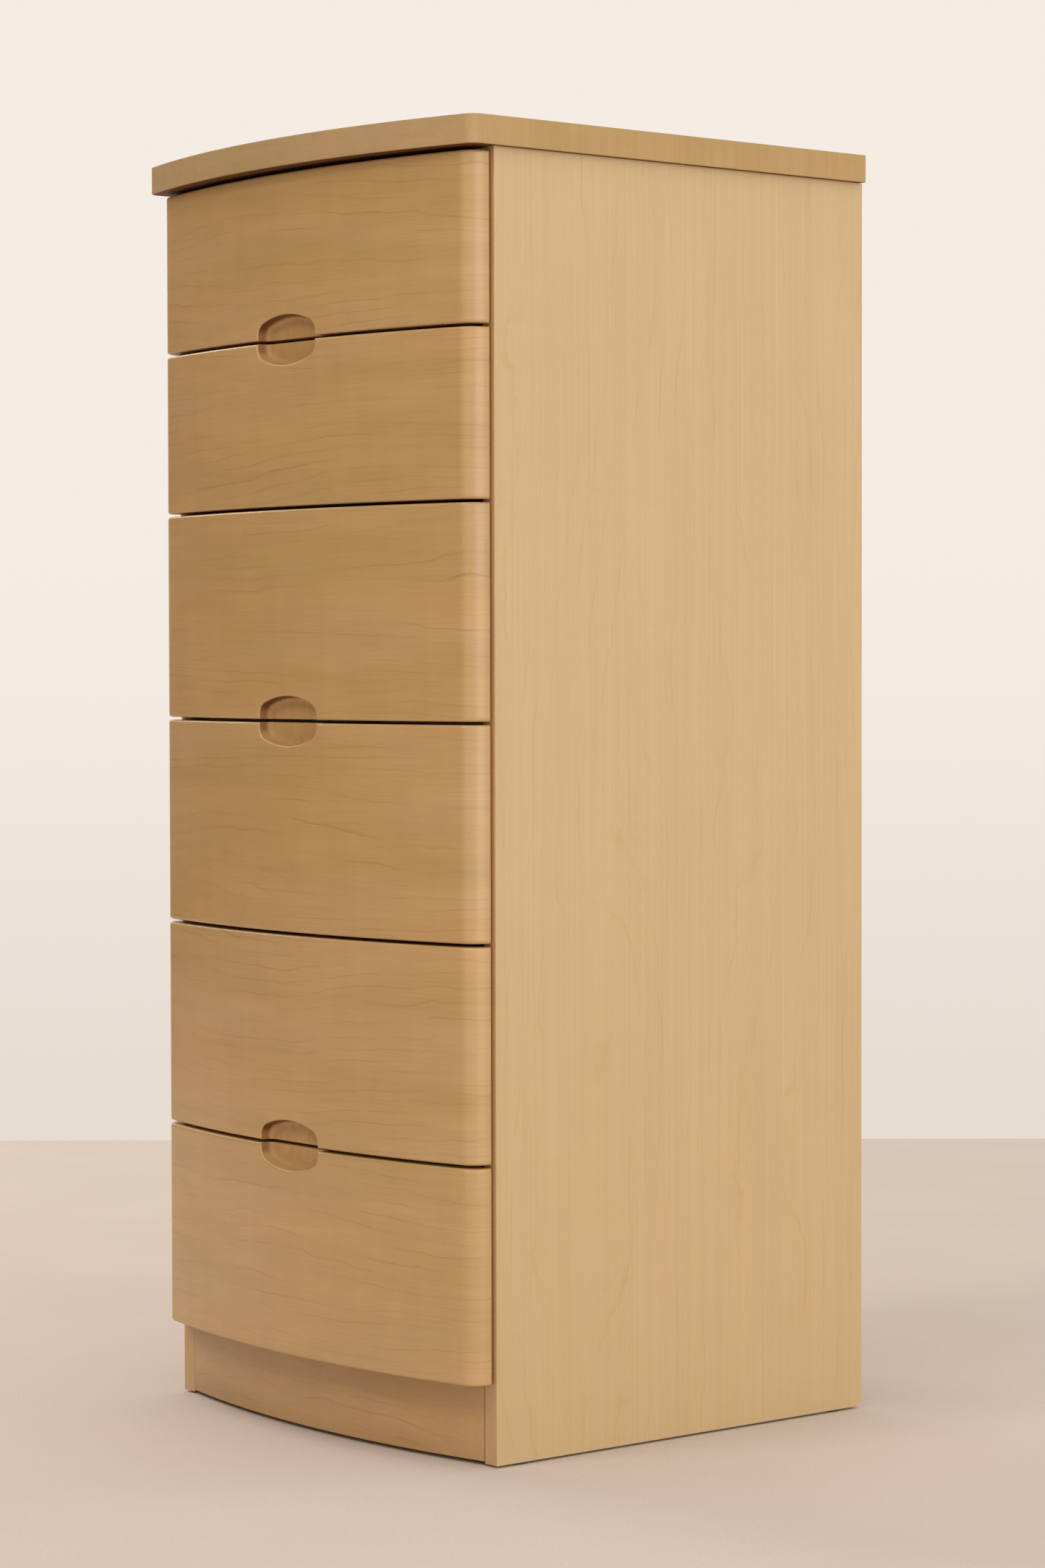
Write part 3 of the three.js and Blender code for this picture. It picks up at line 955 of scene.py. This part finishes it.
def hardboard(name):
    """The smooth side of pressed fibre board: tangled fibres in brown, with a slight cloudiness."""
    finish = Finish(name)
    place = finish.object_grain("xyz")
    tangle = finish.noise(place, along=260, across=260, detail=5, roughness=0.7)
    clouds = finish.noise(place, along=9, across=9, detail=3, shift=5)
    pale, dark, cloudy = HARDBOARD_TONES
    base = finish.mix(finish.between(tangle, *NARROW_SPAN), pale, dark)
    base = finish.mix(finish.between(clouds, *NARROW_SPAN, out_high=0.35), base, cloudy)
    roughness = finish.varied(tangle, *HARDBOARD_ROUGHNESS)
    return finish.finish(base, roughness, finish.bump(tangle, strength=0.25, distance=0.15 * MM))


def moulded_plastic(name):
    """Dark moulded plastic with a fine matte grain."""
    finish = Finish(name)
    place = finish.object_grain("xyz")
    grain = finish.noise(place, along=1500, across=1500)
    base = finish.mix(finish.between(grain, *NARROW_SPAN), *PLASTIC_TONES)
    roughness = finish.varied(grain, *PLASTIC_ROUGHNESS)
    return finish.finish(base, roughness, finish.bump(grain, strength=0.3, distance=0.05 * MM))


def pale_floor(name):
    """A plain pale floor with a short pile."""
    finish = Finish(name)
    place = finish.object_grain("xyz")
    pile = finish.noise(place, along=420, across=420, detail=3)
    clouds = finish.noise(place, along=5, across=5, shift=3)
    pale, paler, piled = FLOOR_TONES
    base = finish.mix(finish.between(clouds, *NARROW_SPAN), pale, paler)
    base = finish.mix(finish.between(pile, *NARROW_SPAN, out_high=0.3), base, piled)
    roughness = finish.varied(pile, *FLOOR_ROUGHNESS)
    return finish.finish(base, roughness, finish.bump(pile, strength=0.3, distance=1 * MM), specular=0.1)


def make_materials():
    return {
        "front": maple("maple_front", FRONT_TONES),
        "scoop": milled_board("milled_scoop"),
        "side": maple(
            "maple_side",
            SIDE_TONES,
            line_strength=0.28,
            spacing=24 * MM,
            figure=0.5,
            fibre_ends=3,
        ),
        "side_edging": maple("maple_side_edging", SIDE_EDGING_TONES, line_strength=0.12),
        "top": maple("maple_top", FRONT_TONES),
        # The top's underside is dark as painted shade.
        "underside": maple("painted_shade_underside", UNDERSIDE_PAINTED_SHADE_TONES, line_strength=0.1, gloss=0.1),
        "front_strip": maple("maple_edging_front", FRONT_STRIP_TONES, line_strength=0.12, gloss=0.3),
        "side_strip": maple("maple_edging_side", SIDE_STRIP_TONES, line_strength=0.12, gloss=0.3),
        "plinth": maple("maple_plinth", PLINTH_TONES, line_strength=0.3, spacing=14 * MM),
        "board_across": maple("foil_across", INNER_TONES, axes="xzy", line_strength=0.3),
        "board_deep": maple("foil_deep", INNER_TONES, axes="yzx", line_strength=0.3),
        "runner": maple("beech_runner", RUNNER_TONES, axes="yzx", line_strength=0.4),
        "hardboard": hardboard("pressed_board"),
        "glide": moulded_plastic("glide_plastic"),
    }


# ---------------------------------------------------------------- camera, floor and light

CAMERA_PLACE = Vector((2.76112, -2.22144, 0.66870))
CAMERA_AZIMUTH = math.radians(50.7317)
CAMERA_PITCH = math.radians(1.8081)
CAMERA_ROLL = math.radians(-0.1209)
CAMERA_LENS = 91.01
CAMERA_SENSOR = 36.0

FLOOR_NEAR = 0.3
FLOOR_END = 5.5
FLOOR_HALF_WIDTH = 3.0

# Where the walls' colour fades upwards, and the room's dim side and how far it spreads, as cosines.
WALL_FADE = (-0.12, 0.03)
DIM_SIDE = Vector((-0.77, -0.64, 0.0)).normalized()
DIM_SPREAD = (0.58, 0.82)

# Each softbox's name, place, width and height, power and tint.
SOFTBOXES = (
    ("window", (4.3, -0.3, 0.9), (3.4, 3.0), 52, (255, 252, 248)),
    ("ceiling", (-0.6, -4.0, 4.4), (1.3, 1.3), 50, (255, 247, 238)),
    ("left", (-4.0, -0.3, 3.4), (1.5, 1.5), 45, (255, 250, 244)),
)


def add_camera():
    data = bpy.data.cameras.new("camera")
    data.lens = CAMERA_LENS
    data.sensor_width = CAMERA_SENSOR
    camera = bpy.data.objects.new("camera", data)
    bpy.context.scene.collection.objects.link(camera)
    turn = Matrix.Rotation(CAMERA_AZIMUTH, 4, "Z")
    tilt = Matrix.Rotation(math.pi / 2 - CAMERA_PITCH, 4, "X")
    roll = Matrix.Rotation(CAMERA_ROLL, 4, "Z")
    camera.matrix_world = Matrix.Translation(CAMERA_PLACE) @ turn @ tilt @ roll
    bpy.context.scene.camera = camera


def add_floor():
    """A plain floor, square to the camera's view, that ends a little behind the chest."""
    ahead = Vector((-math.sin(CAMERA_AZIMUTH), math.cos(CAMERA_AZIMUTH), 0))
    right = Vector((math.cos(CAMERA_AZIMUTH), math.sin(CAMERA_AZIMUTH), 0))
    foot = Vector((CAMERA_PLACE.x, CAMERA_PLACE.y, 0))
    shape = bmesh.new()
    corners = []
    for side, far in ((-1, FLOOR_NEAR), (1, FLOOR_NEAR), (1, FLOOR_END), (-1, FLOOR_END)):
        corners.append(shape.verts.new(foot + right * side * FLOOR_HALF_WIDTH + ahead * far))
    shape.faces.new(corners)
    mesh = bpy.data.meshes.new("floor")
    shape.to_mesh(mesh)
    shape.free()
    floor = bpy.data.objects.new("floor", mesh)
    bpy.context.scene.collection.objects.link(floor)
    mesh.materials.append(pale_floor("pale_floor"))


def add_room():
    """Pale walls all round, a little darker towards the floor, and a dim side that the drawer fronts face."""
    world = bpy.data.worlds.new("room")
    bpy.context.scene.world = world
    world.use_nodes = True
    room = ShaderNodes(world.node_tree)
    way = room.node("ShaderNodeTexCoord", {}).outputs["Generated"]
    low_wall, high_wall = ROOM_TONES
    walls = room.mix(room.between(room.dot(way, UP), *WALL_FADE), low_wall, high_wall)
    dim = room.between(room.dot(way, DIM_SIDE), *DIM_SPREAD)
    lit = room.mix(dim, walls, ROOM_DIM)
    room.feed(world.node_tree.nodes["Background"], {"Color": lit})


def add_softbox(name, place, target, size, power, tint):
    data = bpy.data.lights.new(name, "AREA")
    data.shape = "RECTANGLE"
    data.size, data.size_y = size
    data.energy = power
    data.color = colour(*tint)[:3]
    light = bpy.data.objects.new(name, data)
    bpy.context.scene.collection.objects.link(light)
    light.location = place
    light.rotation_euler = (target - light.location).to_track_quat("-Z", "Y").to_euler()


def add_light():
    """The room round the chest, and the softboxes, which point at its middle."""
    add_room()
    middle = (cad_box[0] + cad_box[1]) / 2
    for name, place, size, power, tint in SOFTBOXES:
        add_softbox(name, place, middle, size, power, tint)


def set_look():
    """Colours come out as the shaders give them, with no film curve."""
    bpy.context.scene.view_settings.view_transform = "Standard"
    bpy.context.scene.view_settings.look = "None"


# ---------------------------------------------------------------- the scene

add_camera()
add_floor()
add_light()
set_look()
materials = make_materials()
build_fronts(materials["front"], materials["scoop"])
build_top_board(materials["top"], materials["underside"])
build_top_edgings(materials["front_strip"], materials["side_strip"])
build_side("left", -1, materials["side"], materials["side_edging"])
build_side("right", 1, materials["side"], materials["side_edging"])
build_plinth(materials["plinth"])
finish_inner_boards(materials)
